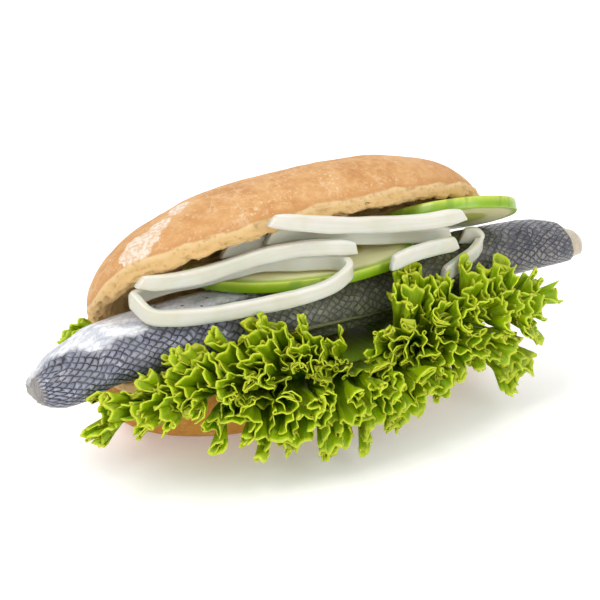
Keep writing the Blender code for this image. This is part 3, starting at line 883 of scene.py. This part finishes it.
def fish_finish():
    """Grey scales below, silver above, darker and rubbed towards the tail, pale flesh at both ends."""
    finish = Finish("herring skin", IOR=1.4, Coat_Weight=0.4, Coat_Roughness=0.1)
    skin = finish.named("skin", out=1)
    _, station, lean = finish.split(skin)
    place = finish.place()
    line, lip, tone, shadow = scales_of(finish, skin, place)
    shade = finish.noise(place, 0.008, 4.0, 0.6)
    cell = finish.mix(tone, srgb(96, 100, 122), srgb(168, 172, 190))
    cell = finish.mix(finish.smooth(shade, 0.4, 0.62), cell, srgb(134, 138, 152))
    middle = finish.smooth(abs(station - 0.012), 0.062, 0.03)
    olive = finish.mix(tone, srgb(72, 74, 30), srgb(116, 118, 58))
    cell = finish.mix(middle * 0.85, cell, olive)
    rubbed = finish.smooth(tone * 0.5 + shade, 0.66, 0.84)
    slate = finish.mix(shade, srgb(52, 55, 66), srgb(104, 107, 116))
    tail = finish.mix(rubbed * 0.6, slate, srgb(158, 151, 140))
    cell = finish.mix(finish.smooth(station, 0.035, 0.065) * 0.85, cell, tail)
    cell = finish.mix(shadow * 0.55, cell, srgb(58, 56, 62))
    # Painted highlight: the raised lip of each scale is painted paler, less so where the painted shade
    # beside the line falls
    edge = finish.mix(lip * (1 - shadow) * 0.6, cell, srgb(206, 210, 222))
    worn = finish.smooth(finish.noise(place, 0.006), 0.35, 0.62, 0.5, 1.0)
    worn = worn * (1 - middle * 0.5)
    net = finish.mix(line * worn, edge, srgb(38, 33, 38))
    limit = finish.smooth(station, -0.1, 0.09, 0.72, 0.3)
    limit = limit - finish.smooth(station, -0.076, -0.092) * 0.26
    limit = limit + finish.uneven(place, 0.006, 3.0) * 0.2
    share = finish.smooth(lean, limit + 0.05, limit - 0.06) * (lean < 1.2)
    streak = finish.noise(finish.vector("MULTIPLY", place, (0.35, 1.0, 1.0)), 0.0035, 4.0, 0.65)
    silver = finish.mix(finish.smooth(streak, 0.35, 0.65), srgb(186, 190, 200), srgb(246, 247, 250))
    fleck = finish.smooth(finish.cells(place, 0.0028), 0.22, 0.14)
    fleck = fleck * finish.smooth(station, -0.075, -0.05)
    silver = finish.mix(fleck * 0.85, silver, srgb(70, 70, 72))
    colour = finish.mix(share * (1 - line * 0.12), net, silver)
    seam = 1.03 + (shade - 0.5) * 0.06 + (station - 0.01) * 1.2
    fold = finish.smooth(abs(lean - seam), 0.028, 0.008)
    colour = finish.mix(fold * middle * 0.7, colour, srgb(158, 154, 112))
    under = finish.smooth(abs(lean - 1.5), 0.34, 0.16)
    colour = finish.mix(under * 0.75, colour, srgb(176, 172, 166))
    flake = finish.mix(finish.noise(place, 0.002, 3.0), srgb(172, 158, 132), srgb(214, 202, 182))
    tip = finish.smooth(station + finish.uneven(place, 0.003) * 0.003, -0.0952, -0.0966)
    cut = calc(finish.tree, "MAXIMUM", finish.named("flesh"), tip * 0.3)
    finish.paint(Base_Color=finish.mix(cut, colour, flake), Metallic=share * 0.2 * (1 - cut))
    finish.paint(Roughness=0.28 + line * 0.2 + finish.noise(place, 0.004) * 0.14)
    scaly = finish.noise(place, 0.0012, 3.0) * 0.6 + (lip - line) * 0.8 * (1 - share)
    finish.bump(scaly + streak * 0.5 * share, 0.00028, 0.6)
    return finish


def cucumber_finish():
    """A soft core, paler meat round it, and a green rind with painted light: lighter towards the slice's
    upper face and darker towards its lower face.
    """
    finish = Finish("cucumber", Subsurface_Weight=0.25, Subsurface_Scale=0.003, Coat_Weight=0.2)
    reach, angle, level = finish.split(finish.named("disc", out=1))
    place = finish.place()
    wobble = finish.uneven(place, 0.004) * 0.05
    fan = finish.join(reach * 2.0, calc(finish.tree, "SINE", angle * 9.0), 0.0)
    rays = finish.noise(fan, 1 / 6, 3.0)
    core = finish.mix(rays, srgb(196, 199, 88), srgb(214, 216, 120))
    meat = finish.mix(finish.noise(place, 0.003, 3.0), srgb(238, 236, 168), srgb(248, 246, 200))
    face = finish.mix(finish.smooth(reach + wobble, 0.5, 0.6), core, meat)
    face = finish.mix(finish.smooth(reach + wobble, 0.86, 0.97), face, srgb(160, 188, 76))
    streak = finish.noise(finish.join(angle * 0.02, level * 0.0006, 0.0), 0.004, 3.0)
    # Painted light: the rind is lighter green towards the upper face and darker towards the lower face, with
    # its streaks mixed in
    height = finish.smooth(level + (streak - 0.5) * 1.2, -0.4, 1.1)
    rind = finish.mix(height, srgb(130, 170, 16), srgb(194, 212, 84))
    rind = finish.mix(finish.smooth(streak, 0.5, 0.64) * 0.55, rind, srgb(100, 146, 10))
    outer = finish.smooth(reach, 0.984, 0.996)
    finish.paint(Base_Color=finish.mix(outer, face, rind), Roughness=0.22 + streak * 0.2)
    finish.bump(finish.noise(place, 0.0016, 3.0), 0.0002, 0.4)
    return finish


def seed_finish():
    finish = Finish("cucumber seeds", Roughness=0.35, Subsurface_Weight=0.3, Subsurface_Scale=0.002)
    place = finish.place()
    colour = finish.mix(finish.noise(place, 0.002), srgb(226, 226, 170), srgb(240, 238, 200))
    finish.paint(Base_Color=colour)
    finish.bump(finish.noise(place, 0.0008), 0.0001, 0.3)
    return finish


def onion_finish():
    """Moist white with a faint grain along the strip and paler rims."""
    finish = Finish("onion", IOR=1.4, Subsurface_Weight=0.45, Subsurface_Scale=0.004, Coat_Weight=0.25)
    high, thick, run = finish.split(finish.named("strand", out=1))
    place = finish.place()
    ribs = finish.noise(finish.join(high * 0.0045, thick * 0.001, run * 0.004), 0.0016)
    body = finish.mix(finish.smooth(ribs, 0.3, 0.7), srgb(207, 207, 194), srgb(214, 214, 205))
    cloud = finish.smooth(finish.noise(place, 0.012), 0.4, 0.65)
    body = finish.mix(cloud * 0.4, body, srgb(192, 191, 162))
    rim = finish.smooth(abs(high), 0.75, 0.98)
    finish.paint(Base_Color=finish.mix(rim * 0.45, body, srgb(226, 227, 218)))
    finish.paint(Roughness=0.24 + ribs * 0.2)
    finish.bump(ribs * 0.25 + finish.noise(place, 0.0025, 3.0) * 0.6, 0.00012, 0.4)
    return finish


def leaf_finish():
    """Thin leaf, brighter towards its margin, with pale veins. Light comes through it green."""
    finish = Finish("lettuce", IOR=1.36, Subsurface_Weight=0.5, Subsurface_Scale=0.0015)
    finish.shader.inputs["Subsurface Radius"].default_value = (0.7, 1.0, 0.15)
    length, share, _ = finish.split(finish.named("blade", out=1))
    place = finish.place()
    patch = finish.noise(place, 0.009, 4.0, 0.6)
    deep = finish.mix(patch, srgb(92, 124, 0), srgb(118, 148, 0))
    bright = finish.mix(patch, srgb(126, 154, 0), srgb(154, 178, 8))
    blade = finish.mix(finish.smooth(share + (patch - 0.5) * 0.25, 0.5, 0.95), deep, bright)
    fan = finish.noise(finish.join(length, share * 0.004, 0.0), 0.0035)
    vein = finish.smooth(abs(fan - 0.5), 0.035, 0.0)
    blade = finish.mix(vein * 0.3, blade, srgb(180, 204, 80))
    margin = finish.smooth(share, 0.965, 0.99)
    blade = finish.mix(margin * 0.8, blade, srgb(196, 204, 50))
    held = finish.smooth(share, 0.42, 0.2)
    finish.paint(Base_Color=finish.mix(held * 0.3, blade, srgb(150, 168, 70)))
    finish.paint(Roughness=0.26 + finish.noise(place, 0.003) * 0.2)
    finish.bump(finish.cells(place, 0.0016, "SMOOTH_F1") * 0.8 + vein * 0.5, 0.0003, 0.5)
    return finish


def floor_finish():
    finish = Finish("white floor", Roughness=0.9, Emission_Color=(1.0, 1.0, 1.0), Emission_Strength=0.22)
    soft = finish.noise(finish.place(), 0.4)
    finish.paint(Base_Color=finish.mix(soft, (0.93, 0.93, 0.93), (0.96, 0.96, 0.96)))
    return finish


def toward(angle, height):
    """The direction at this angle round the roll and this height, in radians, from its open front."""
    level = math.cos(height)
    return Vector((math.sin(angle) * level, -math.cos(angle) * level, math.sin(height)))


def aimed(name, data, direction, away):
    """A lamp or camera at this distance from the target, looking at it."""
    holder = placed(name, data)
    holder.location = TARGET + direction * away
    holder.rotation_euler = direction.to_track_quat("Z", "Y").to_euler()
    return holder


def studio_floor():
    """A pale floor that curves up far behind."""
    steps = [(-3.0, 0.0), (2.0, 0.0), (2.3, 0.03), (2.6, 0.12), (2.85, 0.3), (3.0, 0.6), (3.0, 2.6)]
    line = curve([(y, z, 0) for y, z in steps], 40)
    points = [(x, y, z) for y, z, _ in line for x in (-4.0, 4.0)]
    faces = [(2 * i, 2 * i + 1, 2 * i + 3, 2 * i + 2) for i in range(len(line) - 1)]
    floor = shape("floor", points, faces)
    floor.data.materials.append(floor_finish().material)
    floor.rotation_euler[2] = AZIMUTH


def studio():
    """The floor, soft light from all round, three lamps and the photograph's camera."""
    studio_floor()
    world = bpy.data.worlds.new("studio")
    bpy.context.scene.world = world
    world.use_nodes = True
    sky = world.node_tree.nodes["Background"].inputs
    sky["Color"].default_value = (1, 1, 1, 1)
    sky["Strength"].default_value = WORLD_LIGHT
    for name, (angle, height, away, size, power, colour) in LIGHTS.items():
        lamp = bpy.data.lights.new(name, "AREA")
        lamp.shape, lamp.size, lamp.energy, lamp.color = "DISK", size, power, colour
        aimed(name, lamp, toward(math.radians(angle), math.radians(height)), away)
    lens = bpy.data.cameras.new("camera")
    lens.lens, lens.sensor_width, lens.clip_start, lens.clip_end = LENS, SENSOR, 0.01, 50
    bpy.context.scene.camera = aimed("camera", lens, toward(AZIMUTH, ELEVATION), DISTANCE)
    bpy.context.scene.view_settings.view_transform = "Standard"


def bread():
    """Both halves of the roll. The lower crust is browner and has no flour."""
    upper = srgb(218, 174, 120), srgb(203, 151, 93), srgb(176, 116, 56)
    lower = srgb(204, 146, 54), srgb(188, 124, 30), srgb(160, 96, 14)
    bun_top(bread_relief_tree(bread_finish("crust", *upper, UPPER_FLOUR)))
    bun_bottom(bread_relief_tree(bread_finish("lower crust", *lower, ())))


def cucumber():
    relief = flesh_relief_tree("Cucumber relief", cucumber_finish())
    for name, sizes in SLICES.items():
        slice_of(name, sizes, relief)
    seeds(seed_tree_of(seed_finish()))


def onion():
    relief = flesh_relief_tree("Onion relief", onion_finish())
    for name, path in STRIPS.items():
        strip(name, path, relief, closed=name == "onion_ring")


def lettuce():
    relief = leaf_relief_tree(leaf_finish())
    for name, sizes in LEAVES.items():
        leaf(name, relief, sizes)


bread()
herring(scale_relief_tree(fish_finish()))
cucumber()
onion()
lettuce()
studio()
